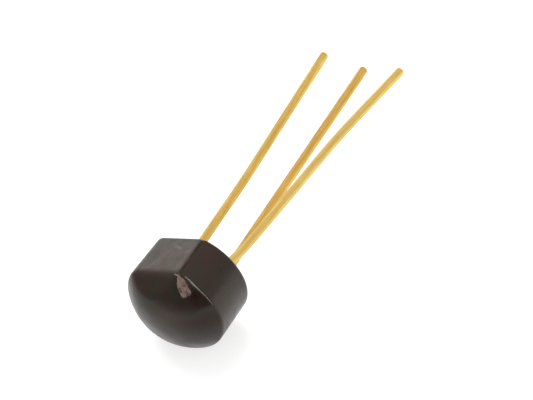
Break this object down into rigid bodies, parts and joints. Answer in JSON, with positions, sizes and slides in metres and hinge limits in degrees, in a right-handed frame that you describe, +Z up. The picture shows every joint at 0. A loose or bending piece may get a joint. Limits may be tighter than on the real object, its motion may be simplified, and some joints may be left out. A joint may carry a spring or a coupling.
{
  "type": "transistor",
  "caption": "Small-signal transistor: dark epoxy body, D-shaped with a domed nose, and round gold-plated wire leads, lying on its side.",
  "frame": {"origin": "under the middle of the part's box, on the table that it lies on", "axes": "+Z up, +Y the way the leads point, +X to the right when looking along the leads; the index flat faces up and to the left"},
  "size_m": [0.0052, 0.0197, 0.0055],
  "materials": {
    "epoxy": "satin, dark brown moulding compound",
    "gold_plate": "satin gold plating on drawn wire",
    "silicon": "polished silicon",
    "gold_wire": "bright gold"
  },
  "bodies": {
    "root": {"epoxy_body": "epoxy", "emitter_lead": "gold_plate", "base_lead": "gold_plate", "collector_lead": "gold_plate", "silicon_die": "silicon", "emitter_bond_wire": "gold_wire", "base_bond_wire": "gold_wire"}
  },
  "joints": []
}
